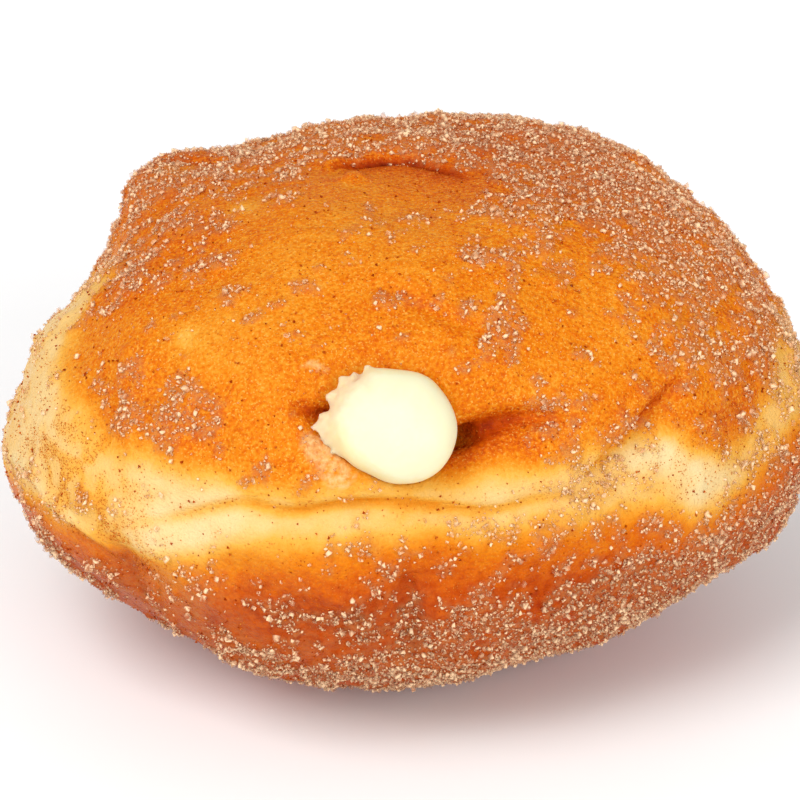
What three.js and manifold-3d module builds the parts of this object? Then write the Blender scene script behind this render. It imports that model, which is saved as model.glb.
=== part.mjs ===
// A yeast doughnut that was filled with custard through a slit in its front and rolled in cinnamon sugar.
// Millimetres, +Z up. The slit faces -Y and +X is to its right. The origin is under the middle of the
// doughnut, on the surface that it rests on.
// Places on the bun are [azimuth, latitude] in degrees: azimuth anticlockwise from +X, so 270 is the front,
// and latitude 0 on the waist, where the two fried halves meet, and 90 at the top.
import * as THREE from "three";
import { mergeVertices } from "three/addons/utils/BufferGeometryUtils.js";
import Module from "manifold-3d";

const wasm = await Module();
wasm.setup();

// Driving dimensions of the bun
const HEIGHT = 57.5;
const FOOT_SINK = 2; // how much of the round underside is pressed flat where the bun rests
const MEAN_RADII = { x: 46, y: 42 };
// Plan outline at the waist: radii every 30 degrees, anticlockwise from +X.
const WAIST_RADII = [46, 45, 45, 45, 44, 45.5, 46.5, 45.5, 41, 37.5, 38.5, 43];
// Height of the waist at the same azimuths. It rises at the front, under the slit.
const WAIST_HEIGHTS = [30, 29.5, 29, 28.5, 28, 27.5, 27, 28, 30.5, 32.5, 32.5, 31];
// How the bun narrows above and below the waist, every 60 degrees: 1 is an ellipse, less is fuller.
const TOP_TAPER = [0.8, 0.78, 0.88, 1.0, 0.9, 0.74];
const UNDER_TAPER = [1.04, 0.98, 1.0, 1.45, 1.26, 1.2];

// Gentle waves all over the crust
const WAVES = { height: 0.5, length: 26 };
// Broad swellings and hollows: where, how wide and how far out of the smooth bun.
const SWELLINGS = [
  { at: [150, 46], width: 8, out: 4 }, // lump at the back left of the top
  { at: [136, 60], width: 7, out: -1 }, // dip beside the lump
  { at: [44, 44], width: 12, out: 2.0 }, // back right shoulder
  { at: [116, 60], width: 6, out: 0.7 }, // rise of the rim at the back
  { at: [350, -20], width: 14, out: 2.6 }, // full right side under the waist
  { at: [166, 23], width: 12, out: -4.8 }, // hollow over the waist at the left
  { at: [188, 13], width: 8, out: -2.1 }, // flat of the left side, over the corner
  { at: [192, 1], width: 4, out: 1.4 }, // the corner at the left
  { at: [268, -34], width: 19, out: 2.8 }, // belly under the slit
  { at: [222, -25], width: 9, out: -1.2 }, // flat of the lower left
];

// Folds of the crust. Each is a groove along its path and a step up to the left of the path.
const FOLDS = [
  // the pouting lips of the slit
  {
    path: [[249, 32], [257, 29.5], [268, 26.5], [280, 23.5], [288, 24.5], [301, 26]],
    width: 4.5, depth: 2, step: 0,
  },
  // the crease that splits the pale band at the front in two
  {
    path: [[231, 3], [243, 8.5], [254, 6.5], [270, 7], [284, 3], [302, 4.5]],
    width: 2, depth: 1.2, step: 0.3,
  },
  // the edge of the top crust over the band at the right
  { path: [[297, 6], [304, 13], [312, 19], [319, 26]], width: 2.2, depth: 0.6, step: 1 },
  // the fold across the top, with a rim behind it
  {
    path: [[352, 80], [10, 84], [40, 86], [90, 85], [142, 82], [160, 78]],
    width: 2.2, depth: 1.1, step: -1.3,
  },
  // the fold beside the lump at the back left
  { path: [[154, 46], [151, 52], [149, 58]], width: 2, depth: 1, step: 0.5 },
  // the pinch in the lower front
  { path: [[272, -7], [271, -17], [272, -30]], width: 2.2, depth: 0.9, step: 0 },
  // the corner at the lower left
  { path: [[225, -3], [225, -12], [224, -26]], width: 2.6, depth: 1.3, step: 0 },
  // the edge of the top crust over the band at the left
  { path: [[150, 24], [175, 34], [197, 30], [206, 18]], width: 3, depth: 0.8, step: -0.8 },
  // a shallow wrinkle and a shallow valley in the top
  { path: [[258, 61], [276, 53], [297, 41]], width: 2, depth: 0.6, step: 0 },
  { path: [[210, 26], [224, 30], [237, 32]], width: 3, depth: 0.8, step: 0 },
  // the same crease and pinch as at the front, once more at the back
  { path: [[50, 4], [75, 7], [100, 3], [125, 5]], width: 2.4, depth: 1.1, step: 0.3 },
  { path: [[96, -4], [94, -16], [97, -30]], width: 3, depth: 1.1, step: 0 },
];
const FOLD_SAMPLES = 60;
const STEP_REACH = 3; // a step spreads over this many widths of its fold

// The slit that the custard was piped into
const SLIT = { at: [270, 24.6], middle: -0.4, halfLength: 9.4, halfHeight: 1.5, halfDepth: 8 };
const SLIT_SAG = 1.6; // how much lower it is between its ends
const SLIT_FLARE = 0.35; // how much taller it is at its right end
const SLIT_TURN = -6; // how far it falls to the right, in degrees
const SLIT_TILT = 35; // how far the way out of it points above level, in degrees

// Custard: a drop outside the slit, a neck in the slit and a lens-shaped core in the crumb
// Places here are in the frame of the slit: x to the right along it, y up across it, z straight out of it.
const DROP = { at: [-0.6, 0.2, 0.5], height: 4.7 };
// The drop's outline: radii every 30 degrees, anticlockwise from the right.
const DROP_RADII = [6.3, 6.1, 6.4, 6.1, 6.9, 7, 6.9, 5.8, 5, 5.6, 6.1, 6.4];
const DROP_LEAN = { x: 0.35, y: -0.15 }; // how much thicker it is towards +x and towards +y
const NECK = { at: [0, 0, -9], halfSize: [5.5, 2.4, 12] };
// Torn peaks where the custard pulled off the nozzle, on the left edge of the drop: [turn in degrees, reach,
// half width]
const PEAKS = [
  [114, 7.7, 1.3], [125, 7.8, 1.4], [137, 8.4, 2], [153, 8.3, 1.9],
  [169, 8.3, 1.2], [179, 9.2, 1.6], [189, 8.1, 1.4], [200, 7.2, 1.4],
];
const PEAK_LENGTH = 2.2; // half of it, like the height
const PEAK_HEIGHT = 0.85;
const PEAK_POINT = 0.75; // how much narrower a peak is at its tip
const CORE = { at: [0, -2, 31], halfSize: [20, 18, 7] }; // in the frame of the bun
const GAP = 0.3; // between the custard and the dough round it

// Clumps of sugar that stand out of the coating: where, how far they scatter in degrees, and how many
const CLUMP_PATCHES = [
  { at: [90, 68], spread: 24, count: 17 },
  { at: [20, 45], spread: 22, count: 17 },
  { at: [170, 42], spread: 14, count: 8 },
  { at: [231, 29], spread: 5, count: 7 },
  { at: [291, 45], spread: 4, count: 3 },
  { at: [275, -26], spread: 15, count: 11 },
  { at: [325, -24], spread: 16, count: 12 },
  { at: [350, 8], spread: 10, count: 5 },
  { at: [60, -10], spread: 30, count: 9 },
  { at: [132, -12], spread: 24, count: 9 },
];
const CLUMP_RADIUS = { least: 0.8, most: 1.7 };
const CLUMP_SPACING = 3.6;
const CLUMP_FLATNESS = 0.65;
const CLUMP_UNEVENNESS = { least: 0.8, most: 1.2 };
const CLUMP_TRIES = 40; // places tried for each clump of a patch
const CLUMP_SEED = 20;
const CLEAR_OF_CUSTARD = 13;
const CLEAR_OF_FOOT = 4;

// Mesh fineness
const BUN_DETAIL = 16;
const SLIT_DETAIL = 5;
const DROP_DETAIL = 5;
const NECK_DETAIL = 2;
const CORE_DETAIL = 3;
const PEAK_DETAIL = 2;
const FRONT_BIAS = 0.3; // crowds the mesh of the bun towards the front, where the folds are finest
const MERGE_DISTANCE = 1e-5;

const DEGREE = Math.PI / 180;

// A smooth curve through values that are evenly spaced round a circle, by angle.
function aroundCircle(values) {
  const n = values.length;
  const points = [...values, ...values, ...values].map((value, i) => new THREE.Vector2(i, value));
  const curve = new THREE.SplineCurve(points);
  return (angle) => {
    const turns = angle / (2 * Math.PI);
    const place = n + (turns - Math.floor(turns)) * n;
    return curve.getPoint(place / (points.length - 1)).y;
  };
}
const waistRadius = aroundCircle(WAIST_RADII);
const waistHeight = aroundCircle(WAIST_HEIGHTS);
const topTaper = aroundCircle(TOP_TAPER);
const underTaper = aroundCircle(UNDER_TAPER);
const dropRadius = aroundCircle(DROP_RADII);

// The unit vector of a place on the bun.
function towards([azimuth, latitude]) {
  const flat = Math.cos(latitude * DEGREE);
  return new THREE.Vector3(
    flat * Math.cos(azimuth * DEGREE),
    flat * Math.sin(azimuth * DEGREE),
    Math.sin(latitude * DEGREE),
  );
}

// Where the smooth bun's surface lies in a direction.
function bunPoint(direction) {
  const azimuth = Math.atan2(direction.y, direction.x);
  const flat = Math.hypot(direction.x, direction.y);
  const waist = waistHeight(azimuth);
  const up = direction.z > 0;
  const radius = waistRadius(azimuth) * flat ** (up ? topTaper : underTaper)(azimuth);
  const rise = up ? HEIGHT - waist : waist + FOOT_SINK;
  const height = waist + rise * direction.z;
  return new THREE.Vector3(radius * Math.cos(azimuth), radius * Math.sin(azimuth), height);
}

// The way out of the bun at a point near its surface.
function outwardAt(point) {
  const half = HEIGHT / 2;
  return new THREE.Vector3(
    point.x / MEAN_RADII.x ** 2,
    point.y / MEAN_RADII.y ** 2,
    (point.z - half) / half ** 2,
  ).normalize();
}

// How far the gentle waves move the crust outwards at a point.
function waveRise({ x, y, z }) {
  const turn = (2 * Math.PI) / WAVES.length;
  return WAVES.height * Math.sin(turn * (x + z)) * Math.cos(turn * (y - z));
}

// The bun with its waves and broad swellings.
const swellings = SWELLINGS.map((swelling) => ({ ...swelling, centre: bunPoint(towards(swelling.at)) }));
function swollenPoint(direction) {
  const point = bunPoint(direction);
  let out = waveRise(point);
  for (const { centre, width, out: height } of swellings) {
    out += height * Math.exp(-((point.distanceTo(centre) / width) ** 2));
  }
  return point.addScaledVector(outwardAt(point), out);
}

// Each fold's path as a row of points on the swollen bun.
const folds = FOLDS.map((fold) => {
  const curve = new THREE.CatmullRomCurve3(fold.path.map((place) => swollenPoint(towards(place))));
  return { ...fold, line: curve.getSpacedPoints(FOLD_SAMPLES) };
});

// How far a fold moves the crust outwards at a point. It fades out at both ends of the path.
function foldRise({ line, width, depth, step }, point, outward) {
  let nearest = 0;
  for (let i = 1; i < line.length; i++) {
    if (point.distanceToSquared(line[i]) < point.distanceToSquared(line[nearest])) nearest = i;
  }
  const fade = Math.sqrt(Math.sin((Math.PI * nearest) / FOLD_SAMPLES));
  const offset = point.clone().sub(line[nearest]);
  const before = line[Math.max(nearest - 1, 0)];
  const after = line[Math.min(nearest + 1, FOLD_SAMPLES)];
  const leftward = outward.clone().cross(after.clone().sub(before)).normalize();
  const away = offset.length() / width;
  const groove = -depth * Math.exp(-(away ** 2));
  const stepUp = step * Math.tanh(offset.dot(leftward) / width) * Math.exp(-((away / STEP_REACH) ** 2));
  return fade * (groove + stepUp);
}

// The finished crust, without sugar.
function crustPoint(direction) {
  const point = swollenPoint(direction);
  const outward = outwardAt(point);
  const rise = folds.reduce((sum, fold) => sum + foldRise(fold, point, outward), 0);
  point.addScaledVector(outward, rise);
  point.z = Math.max(point.z, 0);
  return point;
}

// A sphere of triangles whose vertices, as unit vectors, are moved by a function.
function shapedSphere(detail, place) {
  const sphere = new THREE.IcosahedronGeometry(1, detail);
  sphere.deleteAttribute("normal");
  sphere.deleteAttribute("uv");
  const geometry = mergeVertices(sphere, MERGE_DISTANCE);
  const position = geometry.getAttribute("position");
  for (let i = 0; i < position.count; i++) {
    const point = place(new THREE.Vector3().fromBufferAttribute(position, i));
    position.setXYZ(i, point.x, point.y, point.z);
  }
  return geometry;
}

function ellipsoid(detail, middle, halfSize) {
  return shapedSphere(detail, (unit) => unit).scale(...halfSize).translate(...middle);
}

// A closed geometry as a solid, and a solid as a geometry.
function solidOf(geometry) {
  return new wasm.Manifold(new wasm.Mesh({
    numProp: 3,
    vertProperties: new Float32Array(geometry.getAttribute("position").array),
    triVerts: new Uint32Array(geometry.getIndex().array),
  }));
}

function geometryOf(solid) {
  const { vertProperties, triVerts } = solid.getMesh();
  const geometry = new THREE.BufferGeometry();
  geometry.setAttribute("position", new THREE.BufferAttribute(vertProperties, 3));
  geometry.setIndex(new THREE.BufferAttribute(triVerts, 1));
  geometry.computeVertexNormals();
  return geometry;
}

function bunSolid() {
  const bias = new THREE.Vector3(0, -FRONT_BIAS, 0);
  return solidOf(shapedSphere(BUN_DETAIL, (unit) => crustPoint(unit.add(bias).normalize())));
}

const slitFrame = new THREE.Matrix4()
  .makeRotationX((90 - SLIT_TILT) * DEGREE)
  .setPosition(swollenPoint(towards(SLIT.at)));

// A mouth-shaped cutter, bent so that the slit sags between its ends, and taller towards the right.
function slitSolid() {
  const { middle, halfLength, halfHeight, halfDepth } = SLIT;
  const mouth = shapedSphere(SLIT_DETAIL, ({ x, y, z }) => {
    const height = halfHeight * (1 + SLIT_FLARE * x);
    const lift = SLIT_SAG * (x * x - 0.5);
    return new THREE.Vector3(middle + halfLength * x, height * y + lift, halfDepth * z);
  });
  return solidOf(mouth.rotateZ(SLIT_TURN * DEGREE).applyMatrix4(slitFrame));
}

// The drop of custard: a dome with an uneven outline.
function dropGeometry(grow) {
  const centre = new THREE.Vector3(...DROP.at);
  return shapedSphere(DROP_DETAIL, (unit) => {
    const radius = dropRadius(Math.atan2(unit.y, unit.x)) + grow;
    const height = DROP.height * (1 + DROP_LEAN.x * unit.x + DROP_LEAN.y * unit.y) + grow;
    return new THREE.Vector3(radius * unit.x, radius * unit.y, height * unit.z).add(centre);
  });
}

function peakGeometry([turn, reach, width], grow) {
  const peak = shapedSphere(PEAK_DETAIL, ({ x, y, z }) => {
    const narrowing = 1 - PEAK_POINT * x;
    const along = reach - PEAK_LENGTH + (PEAK_LENGTH + grow) * x;
    return new THREE.Vector3(along, narrowing * (width + grow) * y, narrowing * (PEAK_HEIGHT + grow) * z);
  });
  return peak.rotateZ(turn * DEGREE).translate(...DROP.at);
}

// The custard, or with some growth the room that it takes up in the dough.
function custardSolid(grow) {
  const grown = (halfSize) => halfSize.map((half) => half + grow);
  const outside = [
    dropGeometry(grow),
    ellipsoid(NECK_DETAIL, NECK.at, grown(NECK.halfSize)),
    ...PEAKS.map((peak) => peakGeometry(peak, grow)),
  ];
  const core = solidOf(ellipsoid(CORE_DETAIL, CORE.at, grown(CORE.halfSize)));
  return outside.reduce((sum, geometry) => sum.add(solidOf(geometry.applyMatrix4(slitFrame))), core);
}

// A seeded row of random numbers from 0 to 1.
function randomRow(seed) {
  let state = seed;
  return () => {
    state = (state + 0x6d2b79f5) | 0;
    let mixed = Math.imul(state ^ (state >>> 15), 1 | state);
    mixed = (mixed + Math.imul(mixed ^ (mixed >>> 7), 61 | mixed)) ^ mixed;
    return ((mixed ^ (mixed >>> 14)) >>> 0) / 2 ** 32;
  };
}

// Where the clumps sit: scattered round each patch, apart from each other and clear of custard and foot.
function clumpPlaces(random) {
  const draw = () => 2 * random() - 1;
  const scatter = () => draw() + draw() + draw();
  const custardAt = new THREE.Vector3().setFromMatrixPosition(slitFrame);
  const places = [];
  for (const { at, spread, count } of CLUMP_PATCHES) {
    for (let tries = 0, placed = 0; placed < count && tries < CLUMP_TRIES * count; tries++) {
      const offset = new THREE.Vector3(scatter(), scatter(), scatter()).multiplyScalar(spread * DEGREE);
      const point = crustPoint(towards(at).add(offset).normalize());
      const clear = point.z > CLEAR_OF_FOOT && point.distanceTo(custardAt) > CLEAR_OF_CUSTARD;
      if (!clear || places.some((other) => other.distanceTo(point) < CLUMP_SPACING)) continue;
      places.push(point);
      placed++;
    }
  }
  return places;
}

// A clump: an uneven lump of few sides, half sunk in the crust.
function clumpSolid(point, random) {
  const between = ({ least, most }, share) => least + (most - least) * share;
  const radius = between(CLUMP_RADIUS, random() ** 2);
  const lump = shapedSphere(0, (unit) => unit.multiplyScalar(radius * between(CLUMP_UNEVENNESS, random())));
  lump.scale(1, 1, CLUMP_FLATNESS).rotateZ(2 * Math.PI * random());
  const upright = new THREE.Vector3(0, 0, 1);
  const turn = new THREE.Quaternion().setFromUnitVectors(upright, outwardAt(point));
  return solidOf(lump.applyQuaternion(turn).translate(point.x, point.y, point.z));
}

function doughSolid() {
  const random = randomRow(CLUMP_SEED);
  const clumps = clumpPlaces(random).map((point) => clumpSolid(point, random));
  const sugared = clumps.reduce((sum, clump) => sum.add(clump), bunSolid());
  return sugared.subtract(slitSolid()).subtract(custardSolid(GAP));
}

// The two pieces, set so that the origin is under the middle of the doughnut.
function piece(name, solid, material) {
  const mesh = new THREE.Mesh(geometryOf(solid), new THREE.MeshStandardMaterial(material));
  mesh.name = name;
  return mesh;
}
const pieces = new THREE.Group();
pieces.add(
  piece("dough", doughSolid(), { color: 0xd5883a, roughness: 0.6, metalness: 0 }),
  piece("custard", custardSolid(0), { color: 0xfff3c4, roughness: 0.3, metalness: 0 }),
);
const box = new THREE.Box3().setFromObject(pieces);
const middle = box.getCenter(new THREE.Vector3());
pieces.position.set(-middle.x, -middle.y, -box.min.z);

const doughnut = new THREE.Group();
doughnut.add(pieces);

export default doughnut;
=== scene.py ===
import math

import bmesh
import bpy
import numpy as np
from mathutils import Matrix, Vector
from mathutils.bvhtree import BVHTree


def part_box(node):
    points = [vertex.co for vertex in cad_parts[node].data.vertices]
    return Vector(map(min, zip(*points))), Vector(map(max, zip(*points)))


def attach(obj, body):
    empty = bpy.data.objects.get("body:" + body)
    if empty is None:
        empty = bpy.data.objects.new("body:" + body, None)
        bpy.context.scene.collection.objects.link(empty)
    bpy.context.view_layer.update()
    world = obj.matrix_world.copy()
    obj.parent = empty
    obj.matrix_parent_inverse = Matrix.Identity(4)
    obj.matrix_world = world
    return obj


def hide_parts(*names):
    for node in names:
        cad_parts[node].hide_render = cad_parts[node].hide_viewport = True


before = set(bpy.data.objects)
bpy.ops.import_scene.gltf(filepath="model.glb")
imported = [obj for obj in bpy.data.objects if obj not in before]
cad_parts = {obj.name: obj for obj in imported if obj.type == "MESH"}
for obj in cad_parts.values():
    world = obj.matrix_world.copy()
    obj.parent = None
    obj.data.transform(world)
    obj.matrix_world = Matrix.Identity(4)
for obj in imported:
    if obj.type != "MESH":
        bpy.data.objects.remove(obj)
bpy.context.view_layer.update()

MM = 0.001
dough_low, dough_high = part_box("dough")
MIDDLE_X = -0.2
MIDDLE = Vector((MIDDLE_X * MM, 0, (dough_low.z + dough_high.z) / 2)) # of the bun
GRAIN_SEED = 11
random = np.random.default_rng(GRAIN_SEED)
# Seeds of the random fields, one up for each further wave of a field
SEEDS = {
    "crust": 0, "band": 3, "fry_and_painted_light": 5, "heap": 9, "patches": 21, "smear": 31, "wrinkles": 33,
    "custard": 40, "torn": 50, "streaks": 61, "haze": 71,
}
# Smoothing of the solids' facets
WELD_DISTANCE = 0.001 # corners nearer to each other than this become one
ROUNDING_LEVELS = 2
SOFTENING_SHARE = 0.5 # how far a pass of softening moves a vertex toward its neighbours' middle

# Camera and studio, in metres, degrees and watts
CAMERA_TARGET = Vector((-0.53, -2.19, 28.9)) * MM
CAMERA_ELEVATION = math.radians(27)
CAMERA_DISTANCE = 0.4
VIEW_WIDTH = 0.093 # what the picture spans at the target
SENSOR_WIDTH = 36 # as Blender has it, in millimetres
CLIP_START = 0.01
# Lights: name, place, size and power
LIGHTS = [
    ("key", (-0.9, -1.1, 1.9), 1.25, 33),
    ("fill", (1.1, -1.7, 0.7), 1.5, 24),
    ("left", (-1.6, -0.5, 0.6), 1.2, 5),
]
WORLD_STRENGTH = 0.6
FLOOR_HALF = 3
FLOOR_SHADE = (0.92, 0.92, 0.92, 1)

# Crust
CRUST_VOXEL = 0.58
CRUST_SOFTENING = 6 # passes
CRUST_WAVES = [(9.0, 0.35), (3.5, 0.16), (1.4, 0.09)]
HOLLOW_DEPTHS = (0.6, 1.6) # how far below the outside the hollow for the custard starts, and is full
# Fine folds over the broad ones of the solid
# Each has places along it, a width, a depth, a step up to its left, and how much it darkens the crust:
# painted shade in its groove, partly real browning, and paler where below 0
CREASES = [
    # The slit, left and right of the drop, darkened as painted shade
    ([(251, 23), (256, 22.3), (262, 21), (268, 19)], 0.9, 1.3, 0.0, 0.35),
    ([(272, 17.5), (279, 18.5), (285, 20.3), (291, 20.8), (297, 20)], 1.2, 1.6, 0.0, 0.25),
    # The golden line across the pale band, and the fold that meets it at the right
    ([(229, 1), (236, 3.6), (241, 6), (246, 7.6), (253, 7.2), (261, 9),
      (270, 9), (277, 8), (284, 7.2), (291, 8), (298, 7.6)], 0.65, 0.7, 0.2, 0.28),
    ([(299, 10.2), (301.5, 11.5), (304, 12.8), (308, 15.2), (312, 17.6), (315.5, 19), (320, 20.3)],
     0.65, 0.5, 0.75, 0.26),
    # The back edge of the dished top, and a soft painted shade along it
    ([(344, 75), (356, 79), (20, 83), (72, 84), (115, 83), (146, 81), (166, 76), (172, 73)],
     0.5, 0.8, -0.2, 0.33),
    ([(338, 73), (346, 78), (355, 83), (50, 87), (135, 86), (160, 79), (171, 74)], 1.8, 0.0, 0.0, 0.12),
    # The crest of the lump at the back left
    ([(157, 37), (154, 39), (153, 43)], 0.8, 0.6, 0.3, 0.12),
    # Pinches below the front and the left, and a shallow one over the slit
    ([(271, -2), (271, -11), (272, -22)], 1.3, 0.8, 0.0, 0.09),
    ([(226, -4), (225, -10), (225, -18)], 0.9, 0.5, 0.0, 0.08),
    ([(260, 46), (275, 41), (292, 31)], 0.9, 0.35, 0.0, 0.08),
    # The pale ridge at the lower left
    ([(194, -2), (201, 0), (208, 1), (216, -1), (222, -3.5), (225, -7)], 0.8, -0.8, 0.0, -0.08),
    # The back
    ([(18, 4), (36, 7), (54, 5), (72, 8), (90, 7)], 0.8, 0.7, 0.2, 0.14),
    ([(108, 12), (121, 8), (136, 7), (151, 9)], 0.8, 0.6, 0.4, 0.12),
    ([(84, -4), (85, -12), (84, -22)], 1.2, 0.7, 0.0, 0.06),
]
CREASE_STEPS = 12 # points along a line from one of its places to the next
STEP_REACH = 3 # how many widths a step reaches to each side
CLEAR_CREASE = 0.15 # creases that darken the crust more than this hold no sugar
CLEAR_SHARES = (0.15, 0.6) # how much of such a crease a point is in where its sugar starts and stops fading
# The pale band round the waist: heights of its upper and lower edge by azimuth, and how softly each fades
BAND_TOP = [
    (0, 39), (30, 36), (90, 35), (150, 35), (172, 40), (182, 46), (192, 47.5), (197, 46), (201, 42.5),
    (205, 41.5), (209, 40.3), (215, 39.3), (221, 38), (248, 36.5), (259, 38.3), (289, 38.6), (303, 38.8),
    (310, 38.8), (314, 38), (317, 36.6), (321, 35.2), (325, 34.4), (330, 34.8), (335, 37), (341, 40),
    (345, 41.5),
]
BAND_BOTTOM = [
    (0, 31), (30, 27), (90, 26), (150, 25.5), (194, 25.2), (211, 27), (222, 26), (226, 24.5), (235, 26.5),
    (244, 30), (255, 32), (270, 31.8), (282, 31.4), (302, 31.2), (312, 30.2), (318, 28.2), (324, 28.4),
    (334, 30.6), (341, 32),
]
BAND_FADE_TOP = 2.6
BAND_FADE_BOTTOM = 2.2
BAND_WAVES = [(5, 0.8), (1.6, 0.4)] # of both edges
# How brown the crust is, from 0, pale, to 1, dark: above the band, below it, in it, and in spots, some of
# which paint shade and some highlights
FRY_TOP = 0.5
FRY_UNDER = 0.78
FRY_UNDER_REACH = 9 # how far below the band it has got that brown
FRY_BAND = 0.12
FRY_WAVES = [(7, 0.05), (2, 0.03)]
FRY_AND_PAINTED_LIGHT_SPOTS = [
    # Back and top; the small pale spot at (201, 54) is a painted highlight
    ((64, 71), 15, 0.08), ((24, 53), 16, 0.1), ((158, 42), 10, 0.1), ((153, 38), 4, 0.1),
    ((249, 59), 14, -0.03), ((159, 40), 2.2, -0.2), ((201, 54), 1.8, -0.2),
    # Left; the pale spots at (227, 30) and (227, 29) are painted highlights
    ((202, 37), 9, 0.1), ((227, 30), 8, -0.07), ((227, 29), 1.6, -0.22), ((218, 17), 6, 0.06),
    ((236, 18), 5, 0.08), ((215, 5), 11, -0.02), ((202, 8), 9, -0.06), ((221, 2), 3.2, 0.12),
    ((226, -6), 3, 0.18), ((228, -14), 10, -0.02), ((207, -12), 8, 0.07), ((232, -1), 5, -0.06),
    ((241, 2), 6, -0.1),
    # Front; the spots from (279, 15) to (292, 17.5) darken the slit's lips as painted shade
    ((270, 8), 9, 0.05), ((279, 15), 2.6, 0.16), ((282, 17.5), 3, 0.1), ((285, 16.5), 2.6, 0.14),
    ((292, 17.5), 3, 0.1), ((283, 10.5), 4.5, -0.1),
    # Right; those at (303, 9) and (309, 8) darken the fold's foot as painted shade, and those at (309.5,
    # 11.5) and (314, 10.8) paint light into the shade beside it
    ((303, 9), 4, 0.02), ((309, 8), 3.5, 0.04), ((309.5, 11.5), 2.8, -0.16), ((314, 10.8), 3, -0.14),
    ((313.5, 15.5), 3.6, 0.08), ((311, 3), 5, 0.06), ((319.5, 3.5), 4, -0.14), ((330, 9), 7, 0.08),
    ((325, 30), 12, -0.05), ((343, 40), 15, 0.04),
]
UNDER_GRAIN = 0.3 # how grained the crust looks below its top, compared with it
GRAIN_FADE = (0.6, 0.85) # how brown it is where its grain starts and stops fading

# Sugar
SUGAR_SPOTS = [
    # Back
    ((80, 68), 15, 0.75), ((24, 53), 15, 0.8), ((158, 42), 10, 0.65), ((152, 43), 5, 0.8),
    ((90, 25), 30, 0.75), ((90, -15), 35, 0.75), ((30, 0), 20, 0.7), ((150, -10), 20, 0.6),
    # Top
    ((303, 70), 6, 0.3), ((300, 54), 7, 0.25), ((291, 36), 2.5, 0.6), ((287, 31), 2.5, 0.6),
    # Left
    ((187, 34), 8, 0.3), ((187, 45), 7, 0.25), ((203, 32), 7, 0.65), ((222, 16), 4.5, 0.7),
    ((235, 18), 4.5, 0.8), ((228, -14), 8, 0.35), ((205, -14), 8, 0.6),
    # Front
    ((295, 18), 6, 0.35), ((287, 3), 6, 0.2), ((298, 1), 6, 0.35), ((300, 6), 8, 0.2),
    ((264, -9), 5, 0.25), ((270, -8), 6, 0.25), ((240, -21), 7, 0.35), ((251, -27), 9, 0.75),
    ((262, -33), 10, 0.7), ((275, -22), 12, 0.75), ((288, -32), 12, 0.8),
    # Right
    ((343, 45), 13, 0.7), ((343, 32), 11, 0.6), ((325, 28), 8, 0.4), ((341, 19), 9, 0.5),
    ((350, 14), 8, 0.5), ((307, 8), 4, 0.25), ((312, -3), 6, 0.4), ((330, -3), 8, 0.6), ((352, 0), 7, 0.6),
    ((345, -8), 9, 0.8), ((321, -13), 11, 0.95), ((306, -18), 11, 0.85), ((312, -25), 10, 0.9),
    # Bare places
    ((319, 4), 3.5, -2), ((284, 18), 3.5, -3), ((220, 75), 5, -1), ((266, 81), 5, -1), ((311, 75), 5, -1),
    ((191, 77.6), 2.4, -6), ((171, 86), 2.2, -6), ((323, 85), 2.4, -6), ((324, 76), 2.4, -6),
]
SUGAR_EVERYWHERE = 0.14 # density outside the spots
# Patches of it: where these waves and the density times the gain add up to the limit
PATCH_WAVES = [(3.4, 0.6), (1.3, 0.7)]
PATCH_GAIN = 1.3
PATCH_LIMIT = 0.72
PATCH_EDGE = 0.2 # how softly a patch ends, as that sum
SUGAR_STRAY = 0.06 # how many crystals lie singly, compared with a patch
SUGAR_HEAP = 0.22 # how far heaped sugar stands over the crust
HEAP_WAVES = [(1.6, 0.33)] # how uneven it is
SUGAR_BROWNING_AND_SHADE = 0.05 # how much darker the crust looks under it: the cinnamon in it, and painted shade between its crystals
SUGAR_DUST = 0.75 # how dusty the crust is under it
DUST_FRY = (0.1, 0.45) # how brown the crust is where dust starts to show, and shows in full
# Haze of the finest sugar
HAZE_SPOTS = [((230, -16), 12, 0.9), ((207, -13), 10, 0.4), ((350, -12), 11, 0.6), ((262, -24), 12, 0.5)]
HAZE_MEAN = 0.8 # how much of it there is in a spot, and how uneven it is
HAZE_WAVES = [(2.5, 0.4)]

# Grains: their shapes, as corners and faces
CUBE_CORNERS = np.array(list(np.ndindex(2, 2, 2))) - 0.5
CUBE_FACES = np.array([(0, 1, 3, 2), (4, 6, 7, 5), (0, 4, 5, 1), (2, 3, 7, 6), (0, 2, 6, 4), (1, 5, 7, 3)])
BLOCK = (CUBE_CORNERS, CUBE_FACES)
SHARD = (CUBE_CORNERS[[0, 3, 5, 6]], np.array([(0, 2, 1), (0, 1, 3), (0, 3, 2), (1, 2, 3)]))
# Their kinds: name, shape, how many, smallest and largest length
CRYSTALS = [
    ("sugar_fine", SHARD, 49000, 0.22, 0.44),
    ("sugar_grains", BLOCK, 14500, 0.34, 0.62),
    ("sugar_coarse", BLOCK, 2000, 0.5, 0.82),
]
CINNAMON_DUST = ("cinnamon_dust", SHARD, 24000, 0.06, 0.18)
CINNAMON_FLAKES = ("cinnamon_flakes", SHARD, 4600, 0.12, 0.36)
SKEW = 2 # above 1 there are more small grains than large, and more dull corners than bright
# The least and most of a grain's width, its height, and how far its middle lies over the crust, as shares
# of its length, and of how far out its corners lie, compared with an even grain's
GRAIN_WIDTHS = (0.65, 1.0)
GRAIN_HEIGHTS = (0.5, 0.9)
GRAIN_LIFTS = (0.2, 0.4)
GRAIN_CORNERS = (0.6, 1.15)
BRIGHTEST_TINT_AND_GLINT = 1.5 # of a corner, from 0, and all above 1 look alike; on sugar, corners this bright are painted glints
PALEST_GRAIN = 0.4 # how brown a grain looks at the least, on the crust's scale
FLOOR_CLEARANCE = 1.2 # no grain lies lower than this

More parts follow.
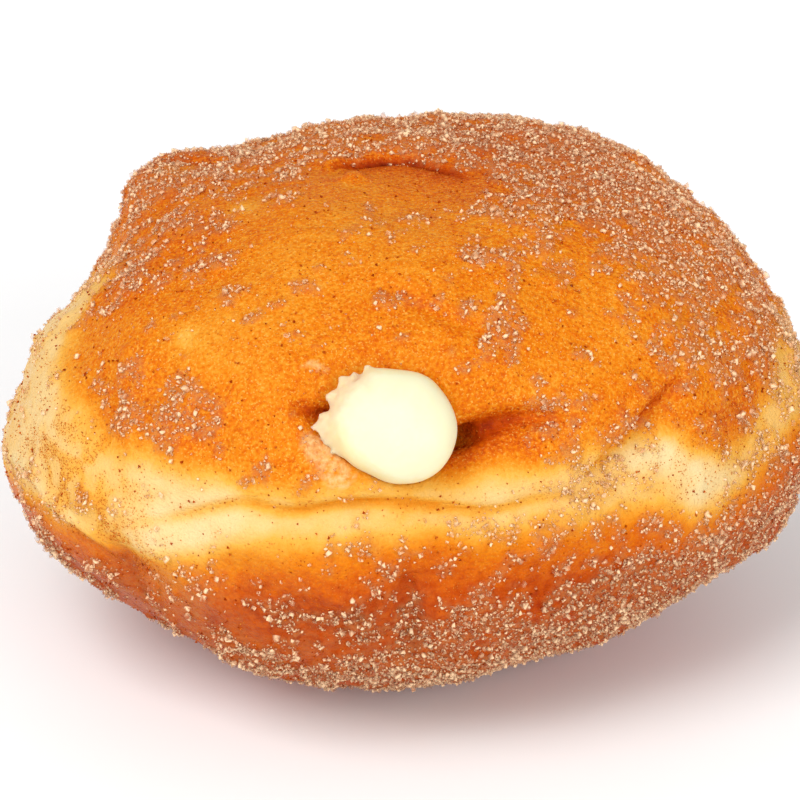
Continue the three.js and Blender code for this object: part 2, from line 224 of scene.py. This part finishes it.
# Cinnamon
CINNAMON_SPOTS = [
    ((221, 4), 6, 1.0), ((213, 5), 6, 0.8), ((226, -5), 4, 1.0), ((318, 12), 14, 0.2), ((340, 30), 16, 0.2),
]
CINNAMON_EVERYWHERE = 0.08
CINNAMON_BROWNING = 0.12 # how much browner its dust makes the crust
STREAK_WAVES = [(1.4, 1.0)]
STREAK_LIMITS = (-0.2, 0.4) # of those waves, where a streak of dust starts and is full

# Custard
CUSTARD_VOXEL = 0.25
CUSTARD_SOFTENING = 6 # passes
CUSTARD_SWELL = 0.35 # closes the gap to the crust
CUSTARD_WAVES = [(5.0, 0.2), (2.0, 0.06)]
CUSTARD_THIN = 4.0 # how high over the crust it stops looking thin
DROP_PLACE = (268, 20)
DROP_REACH = (8.4, 12) # how far from its middle the drop starts to end, and ends
# Smears of custard on the crust: places along each, and width
SMEARS = [
    ([(253.6, 19.2), (255, 18.7), (256.5, 18.3)], 0.5),
    ([(255.5, 18.3), (257, 17.5), (258.6, 16.1), (260.2, 15.1), (261.8, 14.2)], 1.3),
    ([(254, 18.8), (255, 17.4), (257, 15.6), (258.3, 14), (259.3, 12.5), (260, 11.2)], 0.7),
    ([(262, 14.4), (261, 13), (260.3, 11.4)], 1.1),
    ([(251, 29.3), (253, 29.9), (255, 29.2), (257, 28.9)], 0.3),
]
SMEAR_WAVES = [(0.9, 0.3)] # of their edges
SMEAR_LIMITS = (0.3, 0.7) # how much of a smear a point is in where the custard starts and is full
SMEAR_HEIGHT = 0.12
WRINKLE_WAVES = [(1.1, 0.22)]
# The drop's torn edge, by turn round its middle in degrees from the right, and by distance from it
TORN_TURNS = (95, 120, 205, 240) # where it starts, is full, starts to end, and ends
TORN_REACH = (4.0, 8.0)
TORN_SINK = 0.3 # how much lower the torn edge lies
TORN_WAVES = [(1.3, 0.22), (0.55, 0.12)]
TEARS = [([(262, 30.5), (262.2, 29), (261.7, 27.6)], 0.35), ([(255.8, 20), (257, 18.8), (258, 18)], 0.3)]
TEAR_DEPTH = 0.4


# Meshes
def add_object(name, data):
    """A new object in the scene."""
    piece = bpy.data.objects.new(name, data)
    bpy.context.scene.collection.objects.link(piece)
    return piece


def evaluated_mesh(piece):
    """A new mesh with what a piece's modifiers make of it."""
    return bpy.data.meshes.new_from_object(piece.evaluated_get(bpy.context.evaluated_depsgraph_get()))


def welded_mesh(node, name):
    """A copy of a node's mesh whose facets share their corners."""
    mesh = bpy.data.meshes.new(name)
    welded = bmesh.new()
    welded.from_mesh(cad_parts[node].data)
    bmesh.ops.remove_doubles(welded, verts=welded.verts, dist=WELD_DISTANCE * MM)
    welded.to_mesh(mesh)
    welded.free()
    return mesh


def refined_copy(node, name, voxel, softening):
    """A new piece with a node's form: its facets rounded off, then meshed evenly."""
    piece = add_object(name, welded_mesh(node, name))
    rounding = piece.modifiers.new("rounding", "SUBSURF")
    rounding.levels = ROUNDING_LEVELS
    rounding.render_levels = ROUNDING_LEVELS
    even = piece.modifiers.new("even", "REMESH")
    even.mode = "VOXEL"
    even.voxel_size = voxel * MM
    soft = piece.modifiers.new("soft", "SMOOTH")
    soft.factor = SOFTENING_SHARE
    soft.iterations = softening
    piece.data = evaluated_mesh(piece)
    piece.modifiers.clear()
    piece.data.shade_smooth()
    return piece


def tree_of(piece):
    """A search tree of a piece's faces."""
    return BVHTree.FromObject(piece, bpy.context.evaluated_depsgraph_get())


def vertex_values(mesh, field):
    """The place or normal of each vertex, as rows."""
    values = np.empty(len(mesh.vertices) * 3, np.float32)
    mesh.vertices.foreach_get(field, values)
    return values.reshape(-1, 3).astype(float)


def move_vertices(mesh, points):
    """Puts each vertex at its row's place."""
    mesh.vertices.foreach_set("co", points.astype(np.float32).ravel())
    mesh.update()


def store_values(mesh, name, values):
    """Keeps a value for each vertex, which a material can read by its name."""
    attribute = mesh.attributes.new(name, "FLOAT", "POINT")
    attribute.data.foreach_set("value", np.asarray(values, np.float32))


def unit(vectors):
    """The vectors scaled to a length of 1."""
    return vectors / np.linalg.norm(vectors, axis=-1, keepdims=True)


# Fields
HASH_STEPS = (73856093, 19349663, 83492791) # large odd numbers for a cell's x, y and z
HASH_SEED = 2654435761 # another for the seed
HASH_MIX = 1274126177 # and one to mix the result with
HASH_SHIFTS = (13, 16)
LOW_BITS = 0xFFFF
SEED_SHIFT = 0.37 # how far each seed moves the grid, in cells


def hashed(cells, seed):
    """A random value from -1 to 1 for each cell of a grid."""
    x, y, z = (cells * HASH_STEPS).T
    mixed = x ^ y ^ z ^ (seed * HASH_SEED)
    mixed = (mixed ^ (mixed >> HASH_SHIFTS[0])) * HASH_MIX
    return ((mixed ^ (mixed >> HASH_SHIFTS[1])) & LOW_BITS) / (LOW_BITS // 2) - 1


def ease(share):
    """A share from 0 to 1 that starts and ends softly."""
    return share * share * (3 - 2 * share)


def smooth_step(low, high, values):
    """0 below a low value, 1 above a high one, and soft between them."""
    return ease(np.clip((values - low) / (high - low), 0, 1))


def noise(points, bump, seed):
    """Smooth random values from -1 to 1, with bumps of the given size in millimetres."""
    place = points / (bump * MM) + SEED_SHIFT * seed
    cell = np.floor(place).astype(np.int64)
    share = ease(place - cell)
    total = np.zeros(len(points))
    for corner in np.ndindex(2, 2, 2):
        total += hashed(cell + corner, seed) * np.prod(np.where(corner, share, 1 - share), axis=1)
    return total


def wave_sum(points, waves, field):
    """The sum of a field's waves at each point."""
    heights = [height * noise(points, bump, SEEDS[field] + k) for k, (bump, height) in enumerate(waves)]
    return sum(heights)


def toward(place):
    """The direction of a place from the middle of the bun."""
    azimuth, elevation = np.radians(place)
    flat = math.cos(elevation)
    return np.array([flat * math.cos(azimuth), flat * math.sin(azimuth), math.sin(elevation)])


def surface_point(tree, direction):
    """Where the outside of a piece lies in a direction from the middle of the bun."""
    direction = Vector(direction).normalized()
    reach = (dough_high - dough_low).length
    return np.array(tree.ray_cast(MIDDLE + direction * reach, -direction)[0])


def surface_line(tree, places):
    """A smooth row of points on the outside of a piece, on a cubic curve through some places."""
    knots = np.array([toward(place) for place in places])
    padded = np.vstack([2 * knots[0] - knots[1], knots, 2 * knots[-1] - knots[-2]])
    directions = [knots[0]]
    for before, start, end, after in zip(padded, padded[1:], padded[2:], padded[3:]):
        for t in np.linspace(0, 1, CREASE_STEPS + 1)[1:]:
            square = (2 * before - 5 * start + 4 * end - after) * t**2
            cube = (3 * start - before - 3 * end + after) * t**3
            directions.append(start + 0.5 * ((end - before) * t + (square + cube)))
    return np.array([surface_point(tree, direction) for direction in directions])


def nearest_on(line, points):
    """The index of the point of a row that is nearest to each point."""
    squares = (line**2).sum(1) - 2 * points @ line.T
    return squares.argmin(1)


def crease_shape(line, points, normals, width, depth, step):
    """How far a crease moves the crust outwards, and how much of the crease each point is in."""
    nearest = nearest_on(line, points)
    offset = points - line[nearest]
    away = np.linalg.norm(offset, axis=1)
    last = len(line) - 1
    along = line[np.minimum(nearest + 1, last)] - line[np.maximum(nearest - 1, 0)]
    side = (offset * unit(np.cross(normals, along))).sum(1)
    fade = np.sqrt(np.sin(np.pi * nearest / last))
    inside = fade * np.exp(-((away / width) ** 2))
    step_up = fade * step * np.tanh(side / width) * np.exp(-((away / (STEP_REACH * width)) ** 2))
    return step_up - depth * inside, inside


def line_share(tree, lines, points, normals):
    """How much of any of some lines each point is in."""
    share = np.zeros(len(points))
    for places, width in lines:
        inside = crease_shape(surface_line(tree, places), points, normals, width * MM, 0, 0)[1]
        share = np.maximum(share, inside)
    return share


def spot_shares(tree, spots, points):
    """For each spot its strength and how much of it each point is in."""
    for place, radius, strength in spots:
        away = np.linalg.norm(points - surface_point(tree, toward(place)), axis=1)
        yield strength, np.exp(-((away / (radius * MM)) ** 2))


def density_of(tree, spots, everywhere, points):
    """How densely small things lie at each point, in spots and everywhere: up to 1, or below 0 if bare."""
    bare = np.full(len(points), 1.0 - everywhere)
    for strength, inside in spot_shares(tree, spots, points):
        bare *= 1 - strength * inside
    return 1 - bare


# Crust
def outer_share(tree, points):
    """1 on the outside of the bun, falling to 0 in the hollow that the custard fills."""
    middle = np.array(MIDDLE)
    surface = np.array([surface_point(tree, point - middle) for point in points])
    depth = np.linalg.norm(surface - middle, axis=1) - np.linalg.norm(points - middle, axis=1)
    return 1 - smooth_step(*HOLLOW_DEPTHS, depth / MM)


def crust_zones(points):
    """How much of the top and of the pale band each point is in, and how far below the band it lies."""
    azimuth = np.degrees(np.arctan2(points[:, 1], points[:, 0]))
    height = points[:, 2] / MM + wave_sum(points, BAND_WAVES, "band")
    over_top = height - np.interp(azimuth, *zip(*BAND_TOP), period=360)
    below = np.interp(azimuth, *zip(*BAND_BOTTOM), period=360) - height
    top = smooth_step(-BAND_FADE_TOP, BAND_FADE_TOP, over_top)
    band = (1 - top) * (1 - smooth_step(-BAND_FADE_BOTTOM, BAND_FADE_BOTTOM, below))
    return top, band, below


def fry_and_painted_light_of(tree, points, band, below):
    """How brown the crust is at each point, with painted shade and highlights in some spots."""
    fry_and_painted_light = FRY_TOP + (FRY_UNDER - FRY_TOP) * smooth_step(0, FRY_UNDER_REACH, below)
    fry_and_painted_light += band * (FRY_BAND - fry_and_painted_light)
    for strength, inside in spot_shares(tree, FRY_AND_PAINTED_LIGHT_SPOTS, points):
        fry_and_painted_light += strength * inside
    return fry_and_painted_light + wave_sum(points, FRY_WAVES, "fry_and_painted_light")


def crease_relief(tree, points, normals):
    """How far all creases move the crust outwards, how much they darken it with painted shade and some
    browning, and the share of sugar they leave.
    """
    rise = np.zeros(len(points))
    crease_browning_and_shade = np.zeros(len(points))
    left = np.ones(len(points))
    for places, width, depth, step, shade_and_browning in CREASES:
        lift, inside = crease_shape(surface_line(tree, places), points, normals, width * MM, depth, step)
        rise += lift
        # Painted shade in the crease, partly real browning
        crease_browning_and_shade += shade_and_browning * inside
        if shade_and_browning > CLEAR_CREASE:
            left *= 1 - smooth_step(*CLEAR_SHARES, inside)
    return rise, crease_browning_and_shade, left


def sugar_cover(density, points):
    """How much of the crust sugar covers at each point: patchy, and nearly all where it lies dense."""
    patches = wave_sum(points, PATCH_WAVES, "patches")
    return smooth_step(-PATCH_EDGE, PATCH_EDGE, patches + PATCH_GAIN * density - PATCH_LIMIT)


def haze_cover(tree, points):
    """How much haze of the finest sugar lies at each point."""
    return density_of(tree, HAZE_SPOTS, 0, points) * (HAZE_MEAN + wave_sum(points, HAZE_WAVES, "haze"))


def smear_cover(tree, points, normals):
    """How much of the crust smeared custard covers at each point."""
    share = line_share(tree, SMEARS, points, normals)
    return smooth_step(*SMEAR_LIMITS, share + wave_sum(points, SMEAR_WAVES, "smear"))


def cinnamon_cover(tree, points):
    """How densely cinnamon dust lies at each point, in streaks."""
    streaks = smooth_step(*STREAK_LIMITS, wave_sum(points, STREAK_WAVES, "streaks"))
    return density_of(tree, CINNAMON_SPOTS, CINNAMON_EVERYWHERE, points) * streaks


def make_crust():
    """The crust, and how densely sugar, cinnamon dust and cinnamon flakes lie on each of its vertices."""
    piece = refined_copy("dough", "crust", CRUST_VOXEL, CRUST_SOFTENING)
    mesh = piece.data
    tree = tree_of(piece)
    points = vertex_values(mesh, "co")
    normals = vertex_values(mesh, "normal")
    outside = outer_share(tree, points)
    rise, crease_browning_and_shade, sugar_left = crease_relief(tree, points, normals)
    density = density_of(tree, SUGAR_SPOTS, SUGAR_EVERYWHERE, points)
    sugar = sugar_cover(density, points) * sugar_left * outside
    haze = haze_cover(tree, points)
    smear = smear_cover(tree, points, normals)
    cinnamon = cinnamon_cover(tree, points)

    rise += smear * (SMEAR_HEIGHT + wave_sum(points, WRINKLE_WAVES, "wrinkles"))
    rise += sugar * (SUGAR_HEAP + wave_sum(points, HEAP_WAVES, "heap"))
    rise += wave_sum(points, CRUST_WAVES, "crust")
    moved = points + normals * (rise * outside)[:, None] * MM
    moved[:, 2] = np.maximum(moved[:, 2], dough_low.z)
    move_vertices(mesh, moved)

    top, band, below = crust_zones(points)
    # The creases' darkening is painted shade, partly real browning
    fry_and_painted_light = fry_and_painted_light_of(tree, points, band, below) + crease_browning_and_shade
    fry_and_painted_light += SUGAR_BROWNING_AND_SHADE * sugar + CINNAMON_BROWNING * cinnamon
    grain = UNDER_GRAIN + (1 - UNDER_GRAIN) * top
    store_values(mesh, "fry_and_painted_light", fry_and_painted_light)
    store_values(mesh, "haze", np.maximum(SUGAR_DUST * sugar, haze) * smooth_step(*DUST_FRY, fry_and_painted_light))
    store_values(mesh, "smear", smear)
    store_values(mesh, "hollow", 1 - outside)
    store_values(mesh, "grain", grain * (1 - smooth_step(*GRAIN_FADE, fry_and_painted_light)))

    clear = outside * (1 - smear) * (moved[:, 2] > FLOOR_CLEARANCE * MM)
    strays = SUGAR_STRAY * np.maximum(density, 0)
    return piece, (sugar + strays) * clear, cinnamon * clear, clear


# Sugar and cinnamon
def scatter(mesh, density, count):
    """Random places, most where the density is high, the ways out of the crust and its browning and painted
    shade there.
    """
    mesh.calc_loop_triangles()
    corners = np.empty(len(mesh.loop_triangles) * 3, np.int32)
    areas = np.empty(len(mesh.loop_triangles), np.float32)
    mesh.loop_triangles.foreach_get("vertices", corners)
    mesh.loop_triangles.foreach_get("area", areas)
    corners = corners.reshape(-1, 3)
    weights = areas * density[corners].mean(1)
    chosen = corners[random.choice(len(corners), count, p=weights / weights.sum())]
    shares = random.dirichlet((1, 1, 1), count)[:, :, None]
    points = (vertex_values(mesh, "co")[chosen] * shares).sum(1)
    normals = (vertex_values(mesh, "normal")[chosen] * shares).sum(1)
    fry_and_painted_light = np.empty(len(mesh.vertices), np.float32)
    mesh.attributes["fry_and_painted_light"].data.foreach_get("value", fry_and_painted_light)
    return points, unit(normals), fry_and_painted_light[chosen[:, 0]]


def random_turns(count):
    """Random rotation matrices, from random quaternions."""
    w, x, y, z = unit(random.normal(size=(count, 4))).T
    return np.stack([
        1 - 2 * (y * y + z * z), 2 * (x * y - z * w), 2 * (x * z + y * w),
        2 * (x * y + z * w), 1 - 2 * (x * x + z * z), 2 * (y * z - x * w),
        2 * (x * z - y * w), 2 * (y * z + x * w), 1 - 2 * (x * x + y * y),
    ], axis=1).reshape(-1, 3, 3)


def skewed(count):
    """Random shares from 0 to 1, low ones commonest."""
    return random.random(count) ** SKEW


def grain_blocks(corners, lengths):
    """The corners of uneven grains of some lengths, each turned at random about its middle."""
    count = len(lengths)
    widths = random.uniform(*GRAIN_WIDTHS, count)
    heights = random.uniform(*GRAIN_HEIGHTS, count)
    sides = lengths * np.column_stack([np.ones(count), widths, heights])
    uneven = corners * random.uniform(*GRAIN_CORNERS, (count, len(corners), 3))
    return (uneven * sides[:, None]) @ random_turns(count)


def make_grains(kind, mesh, density):
    """One piece of many small uneven solids that lie on the crust."""
    name, (corners, faces), count, shortest, longest = kind
    size = len(corners)
    points, normals, fry_and_painted_light = scatter(mesh, density, count)
    lengths = (shortest + (longest - shortest) * skewed(count))[:, None] * MM
    blocks = grain_blocks(corners, lengths)
    centres = points + normals * lengths * random.uniform(*GRAIN_LIFTS, (count, 1))
    vertices = (blocks + centres[:, None]).reshape(-1, 3)
    faces = (faces + size * np.arange(count)[:, None, None]).reshape(-1, faces.shape[1])
    grains = bpy.data.meshes.new(name)
    grains.from_pydata(vertices, [], faces)
    store_values(grains, "tint_and_glint", BRIGHTEST_TINT_AND_GLINT * skewed(len(vertices)))
    store_values(grains, "fry_and_painted_light", np.repeat(np.maximum(fry_and_painted_light, PALEST_GRAIN), size))
    return add_object(name, grains)


# Custard
def torn_share(offset, out):
    """How torn the custard is at each offset from the middle of the drop: it pulled off at its left."""
    right = unit(np.cross([0, 0, 1], out))
    up = np.cross(out, right)
    turn = np.degrees(np.arctan2(offset @ up, offset @ right)) % 360
    share = smooth_step(*TORN_TURNS[:2], turn) * (1 - smooth_step(*TORN_TURNS[2:], turn))
    return share * smooth_step(*TORN_REACH, np.hypot(offset @ up, offset @ right) / MM)


def make_custard(crust_tree):
    """The custard: a smooth drop with a torn left edge, and the filling that it comes from."""
    piece = refined_copy("custard", "custard_filling", CUSTARD_VOXEL, CUSTARD_SOFTENING)
    mesh = piece.data
    tree = tree_of(piece)
    points = vertex_values(mesh, "co")
    normals = vertex_values(mesh, "normal")
    out = toward(DROP_PLACE)
    offset = points - surface_point(tree, out)
    drop = 1 - smooth_step(*DROP_REACH, np.linalg.norm(offset, axis=1) / MM)
    torn = torn_share(offset, out) * drop
    tear = line_share(tree, TEARS, points, normals)
    rise = CUSTARD_SWELL * drop - TORN_SINK * torn - TEAR_DEPTH * tear
    rise += wave_sum(points, CUSTARD_WAVES, "custard") * drop
    rise += wave_sum(points, TORN_WAVES, "torn") * torn
    moved = points + normals * rise[:, None] * MM
    move_vertices(mesh, moved)
    height = np.array([crust_tree.find_nearest(point)[3] for point in moved])
    store_values(mesh, "thick", height / (CUSTARD_THIN * MM))
    store_values(mesh, "torn", torn + tear)
    return piece


# Materials
STUDIO_LIGHT = 1.35 # how bright the studio shows a white surface
# The standard curve of screen colours: straight up to its toe, and a power above it
SCREEN_TOE = 0.04045
SCREEN_SLOPE = 12.92
SCREEN_OFFSET = 0.055
SCREEN_POWER = 2.4
SCREEN_WHITE = 255


def screen_light(value):
    """The share of its light that a screen gives for a value from 0 to 255."""
    share = value / SCREEN_WHITE
    if share <= SCREEN_TOE:
        return share / SCREEN_SLOPE
    return ((share + SCREEN_OFFSET) / (1 + SCREEN_OFFSET)) ** SCREEN_POWER


def colour(red, green, blue):
    """A surface that looks like a screen colour, each from 0 to 255, in the light of the studio."""
    return [screen_light(value) / STUDIO_LIGHT for value in (red, green, blue)] + [1.0]


def grey(value):
    """A colour with the same value for red, green and blue."""
    return [value, value, value, 1.0]


# Shades of the crust by how brown it is, with its painted shade and highlights
CRUST_SHADES = [
    (0.0, colour(255, 225, 164)), (0.12, colour(255, 205, 122)), (0.24, colour(254, 185, 74)),
    (0.36, colour(250, 160, 42)), (0.5, colour(240, 132, 14)), (0.62, colour(228, 106, 8)),
    (0.76, colour(203, 78, 4)), (0.88, colour(176, 56, 4)), (1.0, colour(124, 30, 2)),
]
# Painted shadow: the hollow inside the slit is coloured dark red-brown for the shade deep in it, not for
# the crumb's own colour
HOLLOW_PAINTED_SHADOW = colour(190, 48, 0)
SUGAR_DUST_SHADE = colour(212, 134, 76)
# Painted highlights: the colour of small lighter glints mixed into the crust
GLINT_SHADE = colour(255, 192, 90)
SMEAR_SHADE = colour(250, 206, 138)
# The sugar's pale colour, which its brightest corners show as painted glints
SUGAR_AND_GLINT_SHADE = (1.0, 0.7, 0.42, 1.0)
# How much of what lies behind it a crystal covers, by its tint, whose brightest corners are painted glints
SUGAR_COVER = [(0.0, grey(0.05)), (0.5, grey(0.3)), (0.8, grey(0.6)), (1.0, grey(0.85))]
# Shades of cinnamon by the tint of its specks
CINNAMON_DUST_SHADES = [
    (0.0, colour(196, 90, 14)), (0.4, colour(230, 124, 36)), (1.0, colour(246, 164, 72)),
]
CINNAMON_FLAKE_SHADES = [
    (0.0, colour(150, 44, 0)), (0.5, colour(190, 74, 8)), (1.0, colour(224, 112, 30)),
]
# Shades of the custard by how thick it is: warmer and darker where thin, towards its rim, partly thin
# custard's own warmth and partly painted shade
CUSTARD_SHADES = [
    (0.0, colour(252, 220, 160)), (0.5, colour(255, 236, 174)), (1.0, colour(255, 252, 212)),
]
TORN_SHADE = colour(250, 212, 170)
CUSTARD_GLOW = 3 # how deep light goes into it
CUSTARD_GLOW_SHARES = (1, 0.8, 0.5) # for red, green and blue


class Nodes:
    """Builds a material's nodes with short calls."""

    def __init__(self, name):
        self.material = bpy.data.materials.new(name)
        self.material.use_nodes = True
        self.tree = self.material.node_tree
        self.shader = self.tree.nodes["Principled BSDF"]

    def put(self, socket, value):
        """Links or sets a socket."""
        if isinstance(value, bpy.types.NodeSocket):
            self.tree.links.new(value, socket)
        else:
            socket.default_value = value

    def add(self, kind, inputs, **settings):
        """A new node with its settings and inputs."""
        node = self.tree.nodes.new(kind)
        for name, value in settings.items():
            setattr(node, name, value)
        for name, value in inputs.items():
            self.put(node.inputs[name], value)
        return node

    def attribute(self, name):
        """A value that is kept for each vertex."""
        return self.add("ShaderNodeAttribute", {}, attribute_name=name).outputs["Fac"]

    def noise(self, bump, detail):
        """Noise with bumps of a size in millimetres."""
        place = self.add("ShaderNodeTexCoord", {}).outputs["Object"]
        inputs = {"Vector": place, "Scale": 1 / (bump * MM), "Detail": detail}
        return self.add("ShaderNodeTexNoise", inputs).outputs["Fac"]

    def math(self, operation, *values):
        """The result of a sum, a product or the like."""
        return self.add("ShaderNodeMath", dict(enumerate(values)), operation=operation).outputs[0]

    def spread(self, value, low, high, start=0.3, end=0.7):
        """A value between start and end, as a noise mostly has, spread from low to high."""
        inputs = {"Value": value, "From Min": start, "From Max": end, "To Min": low, "To Max": high}
        return self.add("ShaderNodeMapRange", inputs).outputs["Result"]

    def ramp(self, value, stops):
        """The colour that some stops give a value."""
        node = self.add("ShaderNodeValToRGB", {"Fac": value})
        elements = node.color_ramp.elements
        while len(elements) < len(stops):
            elements.new(1.0)
        for element, (place, shade) in zip(elements, stops):
            element.position = place
            element.color = shade
        return node.outputs["Color"]

    def mix(self, share, first, second):
        """The first colour with a share of the second."""
        node = self.add("ShaderNodeMix", {"Factor": share}, data_type="RGBA")
        inputs = [socket for socket in node.inputs if socket.type == "RGBA"]
        self.put(inputs[0], first)
        self.put(inputs[1], second)
        return next(socket for socket in node.outputs if socket.type == "RGBA")

    def bump(self, height, distance):
        """A normal for bumps of a height in millimetres."""
        inputs = {"Height": height, "Distance": distance * MM, "Strength": 1.0}
        return self.add("ShaderNodeBump", inputs).outputs["Normal"]

    def finish(self, **sockets):
        """Sets the shader's sockets and gives the material."""
        for name, value in sockets.items():
            self.put(self.shader.inputs[name.replace("_", " ")], value)
        return self.material


def crust_material():
    """Fried dough by how brown it is, with painted shade in creases and spots, mottled and finely wrinkled,
    with painted glints, dusty with sugar, painted dark with shadow where hollow.
    """
    nodes = Nodes("crust")
    fry_and_painted_light = nodes.attribute("fry_and_painted_light")
    grain = nodes.attribute("grain")
    fine = nodes.spread(nodes.noise(bump=0.4, detail=4), low=-0.25, high=0.25)
    broad = nodes.spread(nodes.noise(bump=1.2, detail=3), low=-0.1, high=0.1)
    mottle = nodes.math("ADD", broad, nodes.math("MULTIPLY", grain, fine))
    shade = nodes.ramp(nodes.math("MULTIPLY_ADD", mottle, fry_and_painted_light, fry_and_painted_light), CRUST_SHADES)
    # Painted glints: tiny lighter spots that stand in for highlights on the oily skin
    glints = nodes.spread(nodes.noise(bump=0.24, detail=1), low=0.0, high=0.7, start=0.6, end=0.72)
    shade = nodes.mix(nodes.math("MULTIPLY", grain, glints), shade, GLINT_SHADE)
    dust = nodes.spread(nodes.noise(bump=0.7, detail=3), low=0.1, high=1.0)
    shade = nodes.mix(nodes.math("MULTIPLY", nodes.attribute("haze"), dust), shade, SUGAR_DUST_SHADE)
    film = nodes.spread(nodes.noise(bump=0.6, detail=3), low=0.0, high=0.95)
    shade = nodes.mix(nodes.math("MULTIPLY", nodes.attribute("smear"), film), shade, SMEAR_SHADE)
    # Painted shadow: the hollow turns dark red-brown
    shade = nodes.mix(nodes.attribute("hollow"), shade, HOLLOW_PAINTED_SHADOW)
    roughness = nodes.spread(nodes.noise(bump=0.7, detail=3), low=0.22, high=0.42)
    normal = nodes.bump(nodes.noise(bump=0.4, detail=3), distance=0.25)
    return nodes.finish(Base_Color=shade, Roughness=roughness, Specular_IOR_Level=0.04, Normal=normal)


def sugar_material():
    """Clear crystals that show the crust through them, a few of their corners painted bright as glints."""
    nodes = Nodes("sugar")
    tint_and_glint = nodes.attribute("tint_and_glint")
    amber = nodes.ramp(nodes.attribute("fry_and_painted_light"), CRUST_SHADES)
    shade = nodes.mix(nodes.spread(tint_and_glint, low=0.1, high=1.0, start=0.0, end=0.9), amber, SUGAR_AND_GLINT_SHADE)
    cover = nodes.ramp(tint_and_glint, SUGAR_COVER)
    return nodes.finish(Base_Color=shade, Roughness=0.12, IOR=1.55, Specular_IOR_Level=0.06, Alpha=cover)


def cinnamon_material(name, shades):
    """Dull specks of cinnamon."""
    nodes = Nodes(name)
    shade = nodes.ramp(nodes.attribute("tint_and_glint"), shades)
    return nodes.finish(Base_Color=shade, Roughness=0.8, Specular_IOR_Level=0.05)


def custard_material():
    """Smooth custard, warmer and darker where it is thin towards its rim, partly painted shade, and pale
    pink where it is torn.
    """
    nodes = Nodes("custard")
    uneven = nodes.spread(nodes.noise(bump=0.8, detail=2), low=-0.08, high=0.08)
    shade = nodes.ramp(nodes.math("ADD", nodes.attribute("thick"), uneven), CUSTARD_SHADES)
    streaks = nodes.spread(nodes.noise(bump=0.9, detail=3), low=0.5, high=1.1)
    shade = nodes.mix(nodes.math("MULTIPLY", nodes.attribute("torn"), streaks), shade, TORN_SHADE)
    normal = nodes.bump(nodes.noise(bump=1.2, detail=2), distance=0.05)
    return nodes.finish(
        Base_Color=shade, Roughness=0.5, Normal=normal, Subsurface_Weight=0.8,
        Subsurface_Radius=CUSTARD_GLOW_SHARES, Subsurface_Scale=CUSTARD_GLOW * MM,
    )


# Studio
def make_floor():
    """A plain pale floor, which isn't part of the object."""
    corners = [(-FLOOR_HALF, -FLOOR_HALF, 0), (FLOOR_HALF, -FLOOR_HALF, 0)]
    corners += [(FLOOR_HALF, FLOOR_HALF, 0), (-FLOOR_HALF, FLOOR_HALF, 0)]
    mesh = bpy.data.meshes.new("floor")
    mesh.from_pydata(corners, [], [(0, 1, 2, 3)])
    mesh.materials.append(Nodes("floor").finish(Base_Color=FLOOR_SHADE, Roughness=0.9))
    add_object("floor", mesh)


def area_light(name, place, size, power):
    """A soft light that faces the bun."""
    light = bpy.data.lights.new(name, "AREA")
    light.size = size
    light.energy = power
    lamp = add_object(name, light)
    lamp.location = place
    lamp.rotation_euler = (MIDDLE - Vector(place)).to_track_quat("-Z", "Y").to_euler()


def make_studio():
    """White surroundings and soft lights."""
    world = bpy.data.worlds.new("studio")
    world.use_nodes = True
    background = world.node_tree.nodes["Background"]
    background.inputs["Color"].default_value = (1, 1, 1, 1)
    background.inputs["Strength"].default_value = WORLD_STRENGTH
    bpy.context.scene.world = world
    for light in LIGHTS:
        area_light(*light)
    bpy.context.scene.view_settings.view_transform = "Standard"


def make_camera():
    """A camera in front of the bun that looks down on it."""
    data = bpy.data.cameras.new("camera")
    data.sensor_width = SENSOR_WIDTH
    data.lens = SENSOR_WIDTH * CAMERA_DISTANCE / VIEW_WIDTH
    data.clip_start = CLIP_START
    camera = add_object("camera", data)
    back = Vector((0, -math.cos(CAMERA_ELEVATION), math.sin(CAMERA_ELEVATION)))
    camera.location = CAMERA_TARGET + back * CAMERA_DISTANCE
    camera.rotation_euler = (-back).to_track_quat("-Z", "Y").to_euler()
    bpy.context.scene.camera = camera


def dress(piece, material, node=None):
    """Gives a piece its material and its body, and hides the node that it stands for, if any."""
    piece.data.materials.append(material)
    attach(piece, "root")
    if node:
        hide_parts(node)


# The scene
make_camera()
make_studio()
make_floor()
crust, sugar_density, dust_density, flake_density = make_crust()
dress(crust, crust_material(), "dough")
custard = make_custard(tree_of(crust))
dress(custard, custard_material(), "custard")
sugar_look = sugar_material()
for kind in CRYSTALS:
    crystals = make_grains(kind, crust.data, sugar_density)
    crystals.data.shade_smooth()
    dress(crystals, sugar_look)
cinnamon_kinds = [
    (CINNAMON_DUST, dust_density, CINNAMON_DUST_SHADES),
    (CINNAMON_FLAKES, flake_density, CINNAMON_FLAKE_SHADES),
]
for kind, density, shades in cinnamon_kinds:
    dress(make_grains(kind, crust.data, density), cinnamon_material(kind[0], shades))
